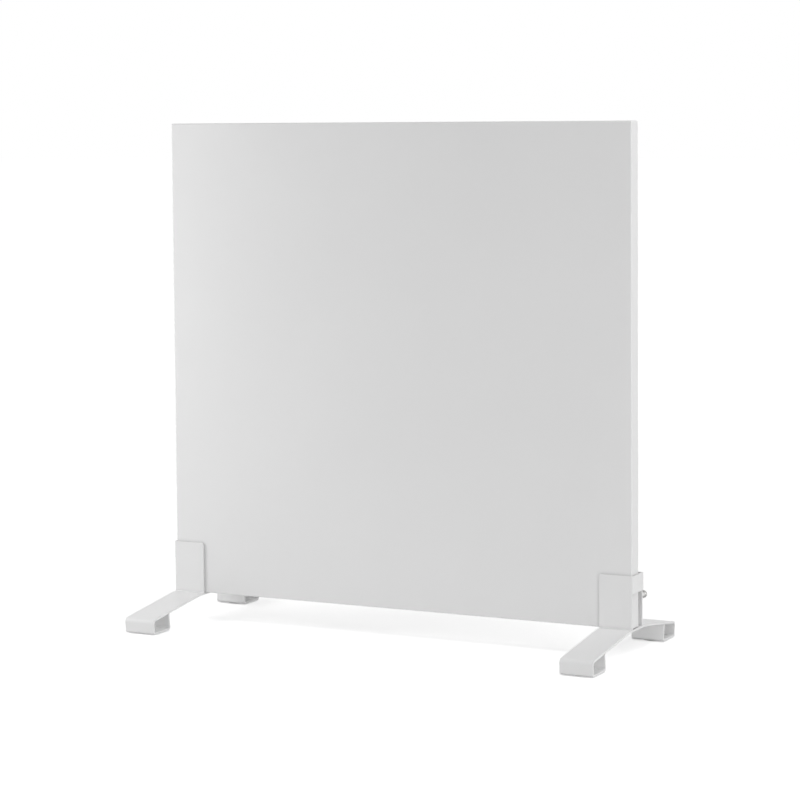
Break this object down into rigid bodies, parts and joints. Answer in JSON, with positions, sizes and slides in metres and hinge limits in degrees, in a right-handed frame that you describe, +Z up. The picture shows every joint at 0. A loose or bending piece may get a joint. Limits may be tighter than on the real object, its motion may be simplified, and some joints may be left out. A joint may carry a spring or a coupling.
{
  "type": "panel heater",
  "caption": "Flat sheet-steel infrared panel heater, upright on clamp-on feet of bent strip with folded box ends; it warms a room by radiating from its plain front face.",
  "frame": {"origin": "on the floor under the feet's pads, midway between the feet and midway along them", "axes": "+Z up, +X to the right as seen from the front, +Y from the front of the panel to its back"},
  "size_m": [0.6058, 0.2521, 0.6055],
  "materials": {
    "white_enamel": "satin white powder coat",
    "zinc_steel": "bright zinc plate",
    "pad_rubber": "matt grey rubber",
    "black_rubber": "matt black rubber",
    "black_plastic": "moulded, fine texture",
    "block_plastic": "moulded, satin",
    "mica": "pressed flakes",
    "carbon_film": "printed carbon",
    "copper": "bare copper strip",
    "foil": "bright foil",
    "mineral_wool": "pressed fibre board",
    "brass": "turned brass",
    "brown_lead": "silicone sleeve",
    "blue_lead": "silicone sleeve",
    "earth_lead": "striped sleeve"
  },
  "bodies": {
    "panel": {"front_panel": "white_enamel", "front_mica_sheet": "mica", "heating_film": "carbon_film", "left_bus_bar": "copper", "right_bus_bar": "copper", "rear_mica_sheet": "mica", "reflector_foil": "foil", "insulation_board": "mineral_wool", "thermal_cutout": "black_plastic", "live_lead": "brown_lead", "element_lead": "brown_lead", "neutral_lead": "blue_lead", "earth_lead": "earth_lead", "earth_lug": "brass", "earth_screw": "zinc_steel", "earth_nut": "zinc_steel", "wire_grommets": "black_rubber", "rear_cover": "white_enamel", "cover_screws": "zinc_steel", "mounting_inserts": "zinc_steel", "terminal_box": "black_plastic", "box_screws": "zinc_steel", "terminal_block": "block_plastic", "terminal_screws": "brass", "terminal_lid": "black_plastic", "lid_screws": "zinc_steel", "gland_body": "black_plastic", "gland_locknut": "black_plastic", "gland_seal": "black_rubber", "gland_cap": "black_plastic"},
    "left_foot": {"left_foot_strip": "white_enamel", "left_foot_clip": "white_enamel", "left_clamp_nut": "white_enamel", "left_front_floor_pad": "pad_rubber", "left_rear_floor_pad": "pad_rubber"},
    "right_foot": {"right_foot_strip": "white_enamel", "right_foot_clip": "white_enamel", "right_clamp_nut": "white_enamel", "right_front_floor_pad": "pad_rubber", "right_rear_floor_pad": "pad_rubber"},
    "left_pad": {"left_clamp_pad": "black_plastic"},
    "right_pad": {"right_clamp_pad": "black_plastic"},
    "left_screw": {"left_clamp_screw": "zinc_steel"},
    "right_screw": {"right_clamp_screw": "zinc_steel"}
  },
  "joints": [
    {"name": "left_foot_pull", "type": "slide", "parent": "panel", "child": "left_foot", "axis": [-1, 0, 0], "range_m": [0, 0.045]},
    {"name": "right_foot_pull", "type": "slide", "parent": "panel", "child": "right_foot", "axis": [1, 0, 0], "range_m": [0, 0.045]},
    {"name": "left_pad_shift", "type": "slide", "parent": "left_foot", "child": "left_pad", "axis": [0, 1, 0], "range_m": [0, 0.0032]},
    {"name": "right_pad_shift", "type": "slide", "parent": "right_foot", "child": "right_pad", "axis": [0, 1, 0], "range_m": [0, 0.0032]},
    {"name": "left_screw_turn", "type": "hinge", "parent": "left_pad", "child": "left_screw", "pos_m": [-0.2929, 0.03, 0.0642], "axis": [0, 1, 0], "range_deg": [0, 1440]},
    {"name": "right_screw_turn", "type": "hinge", "parent": "right_pad", "child": "right_screw", "pos_m": [0.2929, 0.03, 0.0642], "axis": [0, 1, 0], "range_deg": [0, 1440]}
  ],
  "couplings": [
    {"joint": "left_screw_turn", "follows": "left_pad_shift", "rad_per_m": 7854},
    {"joint": "right_screw_turn", "follows": "right_pad_shift", "rad_per_m": 7854}
  ]
}
